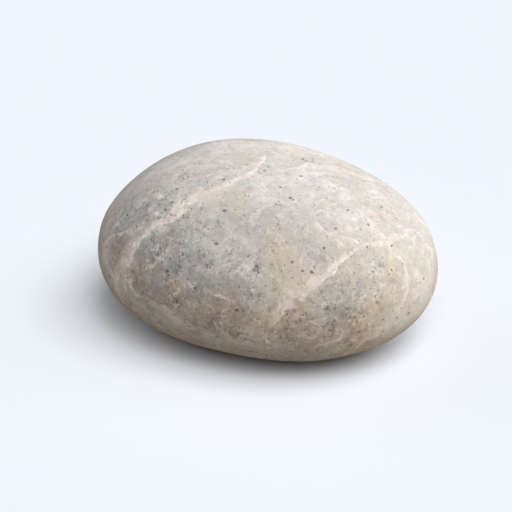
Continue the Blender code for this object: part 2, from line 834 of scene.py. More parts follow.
VEINS = (
    Vein("shoulder", 1, 1.0, 3.5, seen(
        (266, 153, 0.1), (264, 158, 0.2), (260, 164.5, 0.32), (255, 170.5, 0.5), (247, 175.5, 0.6),
        (236, 179.5, 0.65), (224, 185.5, 0.8), (208, 191.5, 0.95), (196, 198, 1.15), (186, 205, 1.25),
        (176, 212, 1.3), (166, 218.5, 1.25), (157, 224.5, 1.15), (149.5, 230, 0.95), (142, 236.5, 0.7),
        (136, 243, 0.5), (131, 250, 0.4), (127, 257, 0.3),
    )),
    Vein("shoulder_low", 1, 0.8, 1.5, seen(
        (144, 234, 0.3), (139, 240, 0.7), (134.5, 247, 1.3), (130, 254, 1.8), (126, 260.5, 1.7),
        (121, 268, 1.35), (116, 277, 1.1), (117, 288, 0.9), (123, 300, 0.6),
    ) + facing(
        (-140, -52, 0.3),
    )),
    Vein("shoulder_back", 1, 1.0, 4.0, facing(
        (108, 60, 0.25), (100, 36, 0.5), (96, 8, 0.45), (104, -22, 0.5), (112, -52, 0.3),
    )),
    Vein("flank", 1, 1.1, 1.5, seen(
        (359, 246, 0.35), (354, 250, 0.5), (345, 257, 0.5), (335, 265, 0.55), (326, 273, 0.65),
        (315, 280.5, 0.9), (305, 287.5, 1.25), (296, 294, 1.5), (288, 301, 1.4),
    )),
    Vein("flank_low", 1, 0.85, 0.8, seen(
        (293, 298, 1.4), (286, 303, 1.4), (279, 311, 1.1), (273, 319, 0.8), (267, 327, 0.4),
    )),
    Vein("nose_bridge", 1, 0.68, 1.0, seen(
        (387, 243, 0.3), (391, 240.5, 0.5), (397, 237.5, 0.6), (404, 235, 0.45), (409, 233, 0.3),
    )),
    Vein("nose", 1, 0.62, 1.5, seen(
        (402, 234.5, 0.3), (409, 231.5, 0.45), (417, 233.5, 0.5), (423, 239, 0.4), (429, 249, 0.35),
    ) + facing(
        (16, 2, 0.35), (32, 2, 0.5), (48, -10, 0.4), (60, -34, 0.3),
    )),
    Vein("crown", 2, 0.62, 3.0, seen(
        (252, 176, 0.25), (268, 173, 0.3), (281, 171, 0.45), (295, 169, 0.7), (309, 167, 1.5),
        (324, 167.5, 1.9), (340, 170, 1.5), (354, 174, 0.8), (366, 179, 0.4),
    ) + facing(
        (30, 26, 0.4), (42, 8, 0.3), (66, -8, 0.35), (82, -26, 0.3),
    )),
    Vein("shoulder_veil", 2, 0.55, 2.0, seen(
        (184, 209, 0.3), (193, 203.5, 0.8), (204, 198, 1.2), (216, 192.5, 1.2), (228, 187, 0.8),
        (240, 182, 0.4),
    )),
    Vein("arc", 2, 0.9, 2.0, seen(
        (362, 213, 0.25), (369, 221, 0.4), (374.5, 228, 0.55), (380, 234.5, 0.6), (385.5, 241, 0.6),
        (391, 249, 0.6), (396, 255, 0.45), (401, 261, 0.32), (404.5, 267, 0.3), (406, 275, 0.45),
        (406, 285, 0.5), (405.5, 294, 0.55), (403, 302, 0.6), (400, 309, 0.5), (396, 316, 0.3),
    )),
    Vein("arc_foot", 2, 1.1, 3.0, seen(
        (388, 326, 0.4), (379, 333, 0.7), (371, 338, 0.9), (362, 343, 0.6),
    ) + facing(
        (-34, -34, 0.3),
    )),
    Vein("heel", 2, 0.7, 3.0, facing(
        (172, 22, 0.3), (-166, 16, 0.35),
    ) + seen(
        (102, 240, 0.3), (112, 236, 0.35), (123, 232, 0.45), (132, 230, 0.5),
    )),
    Vein("saddle", 3, 0.8, 1.5, seen(
        (312, 221, 0.3), (320, 227, 0.45), (329, 233, 0.45), (338, 237, 0.35),
    )),
    Vein("hook", 3, 1.1, 1.0, seen(
        (338, 236, 0.3), (346, 237, 0.35), (353, 238.5, 0.4), (358, 241.5, 0.45), (359, 247, 0.4),
    )),
    Vein("bridge", 3, 0.75, 1.0, seen(
        (362, 244, 0.3), (370, 243.5, 0.5), (378, 243.5, 0.5), (386, 245, 0.35),
    )),
    Vein("belly", 3, 0.7, 3.0, seen(
        (214, 269, 0.25), (222, 266, 0.3), (232, 262, 0.3), (246, 256, 0.2),
    )),
    Vein("heel_fork", 3, 0.95, 1.0, seen(
        (119, 266, 0.35), (123, 273, 0.35), (127, 280, 0.4), (131, 287, 0.35), (135, 292, 0.3),
        (141, 296, 0.2),
    )),
    Vein("heel_streak", 3, 0.6, 2.5, seen(
        (146, 298, 0.5), (155, 304, 0.8), (165, 311, 0.9), (174, 318, 0.8), (184, 326, 0.5),
    )),
    Vein("keel", 3, 0.6, 3.0, seen(
        (212, 321, 0.2), (224, 333, 0.3), (238, 344, 0.3), (250, 337, 0.3), (254, 326, 0.2),
    )),
    Vein("keel_nose", 3, 0.9, 2.0, seen(
        (308, 348, 0.2), (322, 344, 0.35), (337, 340, 0.4), (346, 329, 0.25),
    )),
    Vein("net_left", 3, 0.75, 2.0, seen(
        (146, 271, 0.2), (156, 263, 0.25), (167, 252, 0.25), (173, 245, 0.2),
    )),
    Vein("net_middle", 3, 0.75, 2.0, seen(
        (238, 262, 0.25), (246, 268, 0.3), (256, 273, 0.3), (266, 279, 0.2),
    )),
    Vein("net_low", 3, 0.75, 2.0, seen(
        (200, 287, 0.2), (208, 290, 0.3), (220, 296, 0.3), (230, 303, 0.2),
    )),
    Vein("spur", 3, 0.75, 1.0, seen(
        (174, 212, 0.4), (175, 204, 0.5), (179, 197, 0.4), (184, 190, 0.2),
    )),
    Vein("brow", 3, 0.75, 2.0, seen(
        (187, 162, 0.2), (195, 156, 0.25), (207, 151, 0.3), (216, 149, 0.3), (230, 150, 0.2),
    )),
    Vein("crest", 3, 0.6, 3.0, seen(
        (276, 198, 0.2), (286, 205, 0.25), (296, 212, 0.25), (306, 219, 0.2),
    )),
    Vein("back_long", 2, 0.95, 3.0, facing(
        (166, 6, 0.35), (150, 2, 0.6), (136, -2, 0.75), (122, -12, 0.6), (106, -24, 0.4), (94, -44, 0.35),
    )),
    Vein("back_fork", 3, 0.8, 3.0, facing(
        (138, 0, 0.3), (142, 20, 0.45), (150, 40, 0.4), (166, 54, 0.25),
    )),
    Vein("back_nose", 3, 0.75, 3.0, facing(
        (36, 4, 0.25), (44, 22, 0.35), (58, 38, 0.3), (84, 48, 0.25),
    )),
    Vein("underside", 2, 0.75, 3.0, facing(
        (-160, -44, 0.3), (170, -66, 0.5), (90, -78, 0.45), (20, -60, 0.3),
    )),
)

PATCHES = {
    Tint.BLUE_GREY: spots(Seen,
        (142, 212, 4.5, 0.5), (126, 224, 3.5, 0.8), (130, 198, 3.5, 0.36), (152, 184, 3.5, 0.22),
        (160, 202, 4.0, 0.22), (178, 226, 3.5, 0.32), (148, 246, 3.0, 0.35), (162, 250, 4.5, 0.65),
        (186, 262, 5.0, 0.5), (152, 274, 4.5, 0.95), (164, 292, 5.0, 0.95), (204, 284, 4.5, 0.36),
        (236, 286, 4.5, 0.29), (220, 226, 4.0, 0.22), (240, 244, 3.5, 0.2), (278, 236, 3.5, 0.22),
        (310, 260, 2.5, 0.25), (322, 244, 3.5, 0.22), (328, 298, 3.5, 0.22), (340, 314, 3.5, 0.18),
        (400, 216, 4.5, 0.14), (256, 342, 4.0, 0.18), (292, 344, 4.0, 0.3), (116, 248, 3.4, 0.5),
        (140, 266, 3.0, 0.29), (176, 288, 4.0, 0.36), (196, 308, 4.5, 0.29), (226, 306, 3.5, 0.22),
        (150, 304, 4.0, 0.15), (222, 322, 3.5, 0.25), (256, 224, 3.5, 0.18), (306, 240, 4.0, 0.15),
        (338, 272, 3.0, 0.2), (172, 284, 3.5, 0.5), (156, 262, 3.0, 0.3), (256, 264, 3.0, 0.2),
        (238, 276, 3.0, 0.2), (318, 338, 3.0, 0.15), (222, 318, 3.0, 0.2), (342, 262, 3.0, 0.2),
        (154, 290, 3.0, 0.3), (122, 226, 2.5, 0.25), (138, 240, 2.2, 0.3), (256, 264, 2.5, 0.2),
        (273, 276, 3.0, 0.2), (176, 288, 3.5, 0.6), (190, 288, 3.0, 0.25), (238, 236, 3.0, 0.2),
        (342, 200, 3.0, 0.12), (342, 314, 3.0, 0.2), (174, 288, 3.0, 0.3), (222, 314, 3.0, 0.3),
        (374, 250, 2.5, 0.2), (224, 316, 2.5, 0.3), (307, 186, 3.0, 0.15), (376, 186, 3.0, 0.2),
        (171, 199, 2.5, 0.3), (410, 212, 3.0, 0.2), (188, 290, 2.5, 0.3),
    ) + spots(Facing,
        (150, 22, 8.0, 0.52), (118, 30, 7.0, 0.52), (78, -6, 7.0, 0.6), (58, 14, 5.0, 0.38),
        (176, -20, 6.0, 0.52), (20, -30, 6.0, 0.38), (-60, -70, 8.0, 0.45),
    ),
    Tint.OCHRE: spots(Seen,
        (228, 206, 5.0, 0.2), (244, 193, 4.0, 0.15), (276, 250, 5.0, 0.55), (294, 246, 3.5, 0.15),
        (296, 296, 4.5, 0.6), (270, 322, 4.5, 0.6), (380, 306, 4.0, 0.75), (360, 322, 4.0, 0.6),
        (356, 342, 3.5, 0.55), (300, 330, 4.5, 0.5), (404, 290, 4.0, 0.3), (352, 270, 5.5, 0.35),
        (374, 250, 2.5, 0.3), (398, 268, 4.0, 0.25), (336, 222, 4.0, 0.2), (276, 278, 4.0, 0.25),
        (292, 304, 3.5, 0.4), (366, 346, 4.0, 0.4), (408, 306, 3.0, 0.3), (340, 254, 4.0, 0.3),
        (256, 334, 4.0, 0.3), (308, 326, 3.0, 0.3), (308, 276, 3.0, 0.25), (426, 268, 3.0, 0.3),
        (392, 264, 2.5, 0.25), (272, 330, 3.0, 0.15),
    ) + spots(Facing,
        (104, 8, 5.0, 0.6), (30, 18, 5.0, 0.4), (140, -26, 6.0, 0.5), (-30, -54, 7.0, 0.4),
    ),
    Tint.BROWN: spots(Seen,
        (116, 248, 3.0, 0.6), (123, 240, 2.2, 0.6), (138, 266, 2.8, 0.65), (142, 286, 3.2, 0.9),
        (166, 252, 3.0, 0.3), (154, 298, 3.5, 0.2), (172, 298, 4.5, 0.4), (200, 312, 5.5, 0.6),
        (226, 316, 5.0, 0.9), (244, 314, 4.0, 0.4), (228, 298, 4.0, 0.25), (256, 258, 3.0, 0.2),
        (290, 304, 3.0, 0.3), (294, 324, 4.5, 0.5), (314, 330, 4.5, 0.3), (334, 324, 3.5, 0.25),
        (354, 318, 3.5, 0.5), (344, 290, 4.0, 0.25), (120, 262, 2.5, 0.3), (240, 278, 3.0, 0.25),
        (300, 342, 4.0, 0.35), (344, 328, 3.5, 0.25), (126, 262, 2.2, 0.3), (178, 290, 3.0, 0.5),
        (122, 264, 2.5, 0.4), (222, 322, 3.5, 0.3), (154, 272, 2.5, 0.25), (170, 290, 2.5, 0.3),
        (273, 329, 2.5, 0.3),
    ) + spots(Facing,
        (96, -34, 8.0, 0.7), (50, -40, 7.0, 0.6), (160, -48, 7.0, 0.6), (-110, -60, 9.0, 0.7),
    ),
    # Cream stone, and painted rim light: the patches on the left rim, at (104, 252), (104, 264) and (116,
    # 286), and along the lower right rim, from (344, 348) round to (428, 264), paint the paler edge that
    # the lights and the floor's bounce give there.
    Tint.CREAM_AND_RIM_LIGHT: spots(Seen,
        (182, 200, 4.0, 0.5), (206, 200, 3.0, 0.35), (104, 252, 2.6, 0.9), (116, 286, 3.5, 0.9),
        (294, 289, 3.0, 0.5), (358, 238, 3.5, 0.25), (390, 252, 2.5, 0.3), (410, 278, 3.0, 0.4),
        (396, 310, 3.5, 0.7), (422, 300, 5.0, 1.0), (428, 264, 4.0, 0.5), (408, 322, 5.0, 1.0),
        (372, 344, 5.0, 1.0), (344, 348, 3.5, 0.4), (352, 256, 3.0, 0.3), (398, 256, 4.0, 0.4),
        (428, 304, 3.0, 0.6), (366, 344, 3.0, 0.5), (238, 196, 3.0, 0.35), (371, 262, 3.0, 0.3),
        (366, 340, 3.0, 0.4), (376, 334, 3.0, 0.5), (392, 304, 3.0, 0.3), (290, 290, 2.5, 0.4),
        (205, 250, 3.0, 0.25), (290, 288, 3.0, 0.3), (308, 198, 3.0, 0.45), (374, 342, 3.0, 0.6),
        (358, 346, 3.0, 0.4), (374, 342, 3.0, 0.3), (206, 160, 3.5, 0.2), (250, 150, 4.0, 0.25),
        (222, 172, 3.0, 0.25), (374, 343, 3.0, 0.4), (358, 340, 2.5, 0.35), (104, 264, 3.0, 0.35),
        (190, 264, 2.5, 0.2), (138, 211, 2.5, 0.35), (240, 290, 3.0, 0.2), (256, 277, 2.5, 0.2),
    ) + spots(Facing,
        (60, 50, 9.0, 0.6), (96, 60, 8.0, 0.4), (16, 14, 6.0, 0.4), (130, 8, 5.0, 0.4),
    ),
    # Pale chalky stone, and painted rim light: the patches along the top edge, from (154, 172) to (290,
    # 150), paint the paler strip that the light gives the upper rim.
    Tint.CHALK_AND_RIM_LIGHT: spots(Seen,
        (214, 158, 6.0, 0.4), (226, 146, 4.0, 0.5), (252, 176, 5.0, 0.35), (278, 160, 4.5, 0.4),
        (306, 172, 4.0, 0.35), (272, 188, 4.0, 0.5), (258, 200, 3.0, 0.35), (288, 178, 3.5, 0.3),
        (304, 200, 3.5, 0.2), (176, 166, 4.0, 0.5), (338, 188, 5.0, 0.2), (352, 210, 4.5, 0.25),
        (376, 186, 4.0, 0.3), (290, 150, 4.0, 0.3), (408, 212, 3.0, 0.3), (252, 278, 3.0, 0.4),
        (178, 188, 4.0, 0.3), (334, 214, 4.0, 0.3), (352, 224, 3.5, 0.3), (240, 142, 4.0, 0.5),
        (210, 146, 3.5, 0.4), (262, 146, 3.5, 0.5), (409, 240, 3.0, 0.3), (134, 211, 3.0, 0.75),
        (154, 222, 3.0, 0.35), (160, 236, 3.5, 0.25), (332, 188, 3.5, 0.3), (241, 262, 2.8, 0.55),
        (172, 160, 3.5, 0.4), (154, 172, 3.5, 0.4), (342, 250, 2.5, 0.3), (408, 304, 2.5, 0.35),
    ),
    Tint.ROSE: spots(Seen,
        (290, 296, 3.0, 0.4), (126, 262, 2.5, 0.6), (184, 282, 3.0, 0.3), (386, 240, 3.0, 0.5),
        (308, 334, 3.5, 0.3),
    ) + spots(Facing,
        (138, -6, 4.0, 0.5), (44, -4, 4.0, 0.5),
    ),
    Tint.GRAINY: spots(Seen,
        (160, 205, 6.0, 0.8), (122, 215, 5.0, 0.8), (196, 172, 5.0, 0.45), (122, 256, 4.5, 0.6),
        (120, 292, 4.5, 0.9), (170, 256, 8.0, 0.95), (160, 328, 4.0, 0.8), (235, 280, 7.0, 0.6),
        (260, 252, 6.0, 0.35), (325, 300, 7.0, 0.5), (350, 322, 5.0, 0.5), (375, 285, 5.0, 0.5),
        (200, 320, 8.0, 0.7), (250, 335, 7.0, 0.6), (300, 335, 7.0, 0.6), (356, 342, 5.0, 0.6),
        (205, 190, 4.0, 0.15), (150, 290, 5.0, 0.5), (118, 296, 4.0, 0.4),
    ) + spots(Facing,
        (150, 20, 10.0, 0.9), (80, 6, 9.0, 0.9), (-170, -10, 8.0, 0.7), (40, -20, 8.0, 0.7),
    ),
}

FLECKS = spots(Seen,
    (237, 310, 0.52, 0.9), (173, 202, 0.32, 0.8), (233, 168, 0.34, 0.8), (246, 165, 0.28, 0.8),
    (290, 198, 0.42, 0.8), (293, 200, 0.34, 0.7), (319, 187, 0.28, 0.8), (318, 190, 0.22, 0.7),
    (382, 207, 0.4, 0.8), (386, 209, 0.26, 0.6), (324, 248, 0.42, 0.9), (312, 272, 0.46, 0.8),
    (314, 267, 0.26, 0.6), (367, 247, 0.36, 0.85), (359, 241, 0.28, 0.8), (392, 270, 0.34, 0.9),
    (158, 254, 0.34, 0.8), (210, 268, 0.36, 0.75), (248, 256, 0.34, 0.7), (256, 266, 0.34, 0.7),
    (195, 288, 0.34, 0.8), (147, 291, 0.32, 0.8), (158, 291, 0.28, 0.8), (153, 314, 0.28, 0.8),
    (377, 302, 0.6, 0.5), (202, 208, 0.8, 0.3), (189, 228, 1.0, 0.25), (171, 233, 1.0, 0.25),
    (202, 279, 0.8, 0.25), (344, 316, 1.2, 0.3), (294, 311, 0.8, 0.35), (235, 334, 1.3, 0.3),
    (252, 341, 1.0, 0.25), (119, 252, 0.7, 0.4), (318, 215, 0.45, 0.4), (314, 205, 0.4, 0.35),
    (306, 161, 0.6, 0.4), (312, 162, 0.5, 0.35), (319, 164, 0.35, 0.5), (352, 176, 0.5, 0.3),
    (360, 178, 0.45, 0.3), (368, 181, 0.4, 0.3), (191, 181, 0.32, 0.6), (207, 182, 0.32, 0.6),
    (162, 200, 0.34, 0.7), (213, 160, 0.25, 0.6), (219, 162, 0.22, 0.5), (216, 157, 0.22, 0.5),
    (226, 159, 0.22, 0.5), (357, 322, 0.36, 0.7), (330, 330, 0.36, 0.7), (345, 342, 0.34, 0.6),
    (299, 355, 0.3, 0.5), (341, 290, 0.3, 0.6), (336, 283, 0.25, 0.5), (349, 277, 0.25, 0.5),
    (371, 262, 0.22, 0.5), (387, 226, 0.24, 0.6), (385, 221, 0.2, 0.5), (332, 208, 0.3, 0.4),
    (258, 259, 0.28, 0.6), (296, 322, 0.34, 0.6), (310, 323, 0.24, 0.5), (147, 191, 0.3, 0.6),
    (144, 203, 0.3, 0.6), (225, 164, 0.26, 0.7), (194, 158, 0.24, 0.5), (279, 201.5, 0.28, 0.7),
    (260, 226, 0.26, 0.5), (137, 226, 0.34, 0.6), (134, 222, 0.3, 0.5), (199, 173, 0.22, 0.45),
    (166, 192, 0.3, 0.5), (233, 213, 0.26, 0.4), (210, 163, 0.24, 0.5), (425.5, 242, 0.28, 0.6),
    (399, 243, 0.22, 0.5), (374, 250, 0.2, 0.4), (425.5, 273, 0.24, 0.4), (418, 298, 0.3, 0.6),
    (397, 318, 0.3, 0.7), (378, 326, 0.32, 0.5), (379, 289.5, 0.26, 0.5), (354, 274, 0.3, 0.35),
    (367, 278, 0.26, 0.4), (365.5, 329.5, 0.3, 0.4), (346.5, 285.5, 0.26, 0.4), (361, 291, 0.26, 0.45),
    (361, 345, 0.26, 0.5), (248, 233, 0.3, 0.45), (259, 219, 0.22, 0.4), (264, 232, 0.24, 0.4),
    (271, 247, 0.22, 0.35), (282, 244.5, 0.3, 0.4), (264.5, 286.5, 0.26, 0.5), (274.5, 280, 0.22, 0.35),
    (306, 313, 0.36, 0.5), (324, 308.5, 0.28, 0.5), (299.5, 347.5, 0.3, 0.45), (322, 346, 0.24, 0.5),
    (134, 209, 0.26, 0.5), (161, 208, 0.26, 0.4), (154, 243, 0.26, 0.5), (177, 242, 0.24, 0.5),
    (186, 258, 0.24, 0.45), (175, 282, 0.3, 0.45), (148, 283, 0.24, 0.5), (147, 306, 0.26, 0.6),
    (196, 330, 0.3, 0.5),
) + spots(Facing,
    (70, 20, 0.45, 0.8), (128, 24, 0.4, 0.8), (112, -14, 0.5, 0.8), (160, -4, 0.36, 0.8),
    (48, 30, 0.38, 0.8), (22, -14, 0.4, 0.8),
)


# ---------------------------------------------------------------- finishes


def stepped(start: Shift, step: Shift, count: int) -> Shift:
    """Gives the shift that lies a number of steps on from the start."""
    return tuple(first + each * count for first, each in zip(start, step))


@dataclass(frozen=True)
class Flake:
    """A kind of small soft-edged flake in the stone; its length is in millimetres."""

    colour: Colour
    length: float
    span: Span
    amount: float
    grainy: float = 0.0  # how much more of it there is where the stone is grainy


@dataclass(frozen=True)
class Specks:
    """A strewing of specks; its lengths are in millimetres."""

    spacing: float  # about how far apart they could lie
    reach: float  # the largest one's half width
    share: float  # how many of the places hold one, from 0 to 1
    strength: float
    shift: Shift | None = None


@dataclass(frozen=True)
class Strokes:
    """A strewing of short fine lines; its length is in millimetres."""

    length: float
    lift: float  # how much paler they are than the stone, or darker where it is below 0
    shift: Shift


@dataclass(frozen=True)
class VeinFill:
    """How a vein fills its width, crisp on one side and soft on the other; lengths are in millimetres."""

    sway: Cloud = Cloud(3.4)
    sway_by: float = 2.4
    fray: Cloud = Cloud(0.9, 3.0, 0.7)
    fray_by: float = 1.1
    soft_fray_by: float = 2.0  # what the soft side frays more
    swell: Cloud = Cloud(4.6, 1.0, 0.5, (0.3, 0.7), (0.05, 0.08, 0.02))
    swell_gain: Gain = (0.6, 0.8)
    crisp: Span = (0.2, -0.15)  # counted from the half width
    soft_reach: float = 1.5  # how many half widths the soft side goes out
    soft_beyond: float = 0.2
    soft_full: float = 0.3  # how many half widths out it is still in full
    rim_at: float = 0.7  # how many half widths out the crisp side's paler rim is
    rim: Span = (0.28, 0.05)
    rim_strength: float = 0.35
    broken: Cloud = Cloud(2.0, 3.0, 0.7, (0.34, 0.62))
    body_gain: Gain = (0.45, 0.4)
    rim_gain: Gain = (0.3, 0.7)


@dataclass(frozen=True)
class StoneFinish:
    """Matt water-worn stone; every length is in millimetres, and every shift in metres."""

    # what it is made of
    body: Colour = shade(187, 179, 170)
    vein: Colour = shade(222, 210, 196)
    vein_rose: Colour = shade(214, 197, 185)
    fleck: Colour = shade(88, 81, 75)
    thread: Colour = shade(222, 214, 204)
    drift: Drift = Drift(4.5, 1.6)
    raggedness: tuple[Drift, ...] = (Drift(1.2, 0.45), Drift(0.32, 0.2))

    # patches and flakes, with painted rim light in some of the cream and chalk patches
    tints: tuple[tuple[Tint, Colour], ...] = (
        (Tint.CREAM_AND_RIM_LIGHT, shade(212, 203, 191)),
        (Tint.CHALK_AND_RIM_LIGHT, shade(212, 206, 199)),
        (Tint.BLUE_GREY, shade(148, 145, 143)),
        (Tint.OCHRE, shade(190, 173, 150)),
        (Tint.BROWN, shade(158, 143, 129)),
        (Tint.ROSE, shade(200, 182, 172)),
    )
    tint_edge: Cloud = Cloud(3.2, 3.0, 0.6)
    tint_fray: float = 1.6
    tint_calm: Span = (0.0, 0.4)  # how much of a tint there has to be before its edge frays
    tint_span: Span = (-0.1, 1.1)
    tint_shift: Shift = (0.0, 0.017, 0.043)
    tint_step: Shift = (0.031, 0.0, 0.0)  # from one tint's part of the noise to the next one's
    flakes: tuple[Flake, ...] = (
        Flake(shade(204, 197, 188), 9.0, (0.45, 0.7), 0.6),
        Flake(shade(165, 157, 149), 5.0, (0.5, 0.62), 0.3),
        Flake(shade(207, 200, 190), 5.6, (0.52, 0.64), 0.35),
        Flake(shade(187, 178, 157), 5.2, (0.53, 0.63), 0.35),
        Flake(shade(184, 171, 168), 6.0, (0.53, 0.63), 0.35),
        Flake(shade(160, 151, 142), 3.0, (0.5, 0.75), 0.45),
        Flake(shade(152, 150, 147), 1.7, (0.53, 0.62), 0.15, 0.35),
        Flake(shade(217, 208, 196), 1.9, (0.55, 0.64), 0.35, 0.15),
        Flake(shade(202, 181, 173), 2.8, (0.46, 0.74), 0.6),
        Flake(shade(180, 172, 150), 2.6, (0.46, 0.74), 0.6),
        Flake(shade(172, 179, 167), 2.6, (0.46, 0.74), 0.6),
        Flake(shade(182, 166, 169), 2.6, (0.46, 0.74), 0.6),
    )
    flake_shift: Shift = (0.0, 0.0, 0.011)
    flake_step: Shift = (0.023, 0.019, 0.0)

    # veins and threads
    fill: VeinFill = VeinFill()
    rose_veins: Cloud = Cloud(6.0, span=(0.42, 0.6))
    threads: Cloud = Cloud(3.4)
    thread_edge: Span = (0.02, 0.003)
    thread_gaps: Cloud = Cloud(3.0, span=(0.46, 0.6))
    thread_strength: float = 0.45

    # flecks, specks and strokes
    strewn_flecks: tuple[Specks, ...] = (
        Specks(0.8, 0.2, 0.4, 0.6),
        Specks(2.0, 0.36, 0.45, 0.75, (0.11, 0.05, 0.02)),
    )
    fleck_edge: Span = (1.1, 0.4)  # in reaches of the fleck
    veined_over: float = 0.5  # how much of a fleck a vein hides
    speck_edge: Span = (-0.05, 0.05)
    speck_gain: Gain = (0.35, 0.65)
    dark_specks: tuple[Specks, ...] = (
        Specks(0.55, 0.24, 0.6, -0.17),
        Specks(1.2, 0.42, 0.4, -0.2, (0.04, 0.09, 0.01)),
    )
    dark_clusters: Cloud = Cloud(3.6, span=(0.36, 0.62))
    pale_specks: tuple[Specks, ...] = (
        Specks(0.6, 0.25, 0.5, 0.14, (0.07, 0.02, 0.06)),
        Specks(1.5, 0.55, 0.45, 0.12, (0.21, 0.13, 0.07)),
    )
    pale_clusters: Cloud = Cloud(4.2, span=(0.36, 0.62), shift=(0.3, 0.1, 0.2))
    cluster_gain: Gain = (0.3, 0.9)
    strokes: tuple[Strokes, ...] = (
        Strokes(1.3, 0.2, (0.05, 0.07, 0.05)),
        Strokes(1.1, -0.27, (0.12, 0.07, 0.12)),
        Strokes(2.1, 0.14, (0.19, 0.07, 0.19)),
        Strokes(1.9, -0.2, (0.26, 0.07, 0.26)),
    )
    stroke_edge: Span = (0.075, 0.02)
    stroke_gaps: float = 0.65  # how long the gaps are, in lengths of the strokes
    stroke_gap_span: Span = (0.54, 0.62)
    stroke_gap_shift: Shift = (0.3, 0.2, 0.1)

    # grain, as a change of brightness
    grain: Cloud = Cloud(2.4, 3.0, 0.7)
    grain_contrast: float = 1.0
    cell_lengths: tuple[float, ...] = (2.6, 0.9, 0.42)
    cell_contrast: float = 0.3
    grainy_gain: Gain = (0.38, 0.84)
    busy: Cloud = Cloud(2.8, 1.0, span=(0.32, 0.68))
    busy_gain: Gain = (0.4, 1.2)
    vein_calm: float = 0.4  # how much of the contrast a vein takes away
    tinge: float = 0.02
    tinge_grain: Cloud = Cloud(2.4, 2.0, 0.7)

    # gloss and relief
    roughness: float = 0.64
    grain_roughness: float = 0.4
    vein_polish: float = 0.06
    specular: float = 0.25
    relief: float = 0.05
    relief_strength: float = 0.5
    cell_height: float = 0.3
    grain_height: float = 2.4
    fleck_depth: float = 0.7

    def dress(self, skin: bpy.types.Object, veining: Veining, fleck_layers: int) -> None:
        """Makes the finish and gives it to the skin.

        Args:
            skin: the stone's skin, with its veins, patches and flecks written on it.
            veining: the veins that are on it.
            fleck_layers: how many layers of flecks are on it.
        """
        material = bpy.data.materials.new("river_stone")
        material.use_nodes = True
        sheet = Sheet(material.node_tree)
        place = sheet.node("ShaderNodeTexCoord", output="Object")
        drifted = sheet.drifted(place, self.drift)
        ragged = place
        for drift in self.raggedness:
            ragged = sheet.drifted(ragged, drift)

        veins = self._veins(sheet, veining, place)
        grainy = sheet.written(Tint.GRAINY.value, "Fac")
        busy = sheet.cloud(place, self.busy)
        colour = self._mottling(sheet, drifted, grainy)
        vein_colour = sheet.mix(self.vein, self.vein_rose, sheet.cloud(drifted, self.rose_veins))
        colour = sheet.mix(colour, vein_colour, veins)
        colour = sheet.mix(colour, self.thread, self._threads(sheet, drifted) * self.thread_strength)
        dark = self._flecks(sheet, place, ragged, fleck_layers)
        colour = sheet.mix(colour, self.fleck, dark * (1 - self.veined_over * veins))

        grain, cells = sheet.cloud(place, self.grain), self._cells(sheet, ragged)
        peppered = self._peppering(sheet, ragged) + self._strokes(sheet, ragged)
        contrast = grainy.spread(*self.grainy_gain) * busy.spread(*self.busy_gain)
        contrast = contrast * (1 - self.vein_calm * veins)
        uneven = (grain - MIDDLE) * self.grain_contrast + (cells - MIDDLE) * self.cell_contrast
        tone = 1 + (uneven + peppered) * contrast
        colour = sheet.vector("SCALE", self._tinged(sheet, colour, ragged), tone)

        roughness = self.roughness + (grain - MIDDLE) * self.grain_roughness - veins * self.vein_polish
        height = cells * self.cell_height + grain * self.grain_height - dark * self.fleck_depth
        bump = {"Strength": self.relief_strength, "Distance": self.relief * MM, "Height": height}
        filled = {
            "Base Color": colour,
            "Roughness": roughness,
            "Specular IOR Level": self.specular,
            "Normal": sheet.node("ShaderNodeBump", None, bump, "Normal"),
        }
        shader = sheet.node("ShaderNodeBsdfPrincipled", None, filled)
        sheet.node("ShaderNodeOutputMaterial", None, {"Surface": shader})
        skin.data.materials.clear()
        skin.data.materials.append(material)

    def _tinged(self, sheet: Sheet, colour: Wire, place: Wire) -> Wire:
        """Turns the colour a little to and fro, from grain to grain."""
        push = sheet.vector("SCALE", sheet.ways(place, self.tinge_grain), 2 * self.tinge)
        return sheet.vector("MULTIPLY", colour, sheet.vector("ADD", push, (1.0, 1.0, 1.0)))

    def _cells(self, sheet: Sheet, place: Wire) -> Wire:
        """Lays down close-packed grains of some sizes, each of its own brightness from 0 to 1.

        Args:
            sheet: the sheet of nodes.
            place: the places to lay them on.

        Returns:
            The brightness, as the mean of all sizes.
        """
        lots = []
        for length in self.cell_lengths:
            filled = {"Vector": place, "Scale": 1 / (length * MM)}
            colour = sheet.node("ShaderNodeTexVoronoi", {"feature": "F1"}, filled, "Color")
            lots.append(sheet.node("ShaderNodeSeparateColor", None, {"Color": colour}, "Red"))
        return added(lots) / len(lots)

    def _mottling(self, sheet: Sheet, place: Wire, grainy: Wire) -> Wire:
        """Lays down the stone's own colour, its flakes and its patches, with the painted rim light in
        some cream and chalk patches.

        Args:
            sheet: the sheet of nodes.
            place: the places to lay them on.
            grainy: how grainy the stone is.

        Returns:
            The colour.
        """
        colour = None
        for step, flake in enumerate(self.flakes):
            shift = stepped(self.flake_shift, self.flake_step, step)
            mask = sheet.cloud(place, Cloud(flake.length, 1.0, span=flake.span, shift=shift))
            amount = flake.amount + flake.grainy * grainy if flake.grainy else flake.amount
            colour = sheet.mix(colour or self.body, flake.colour, mask * amount)
        for step, (tint, over) in enumerate(self.tints):
            spot = sheet.moved(place, stepped(self.tint_shift, self.tint_step, step))
            edge = sheet.cloud(spot, self.tint_edge)
            amount = sheet.written(tint.value, "Fac")
            mask = amount + (edge - MIDDLE) * self.tint_fray * amount.ease(*self.tint_calm)
            colour = sheet.mix(colour, over, mask.ease(*self.tint_span))
        return colour

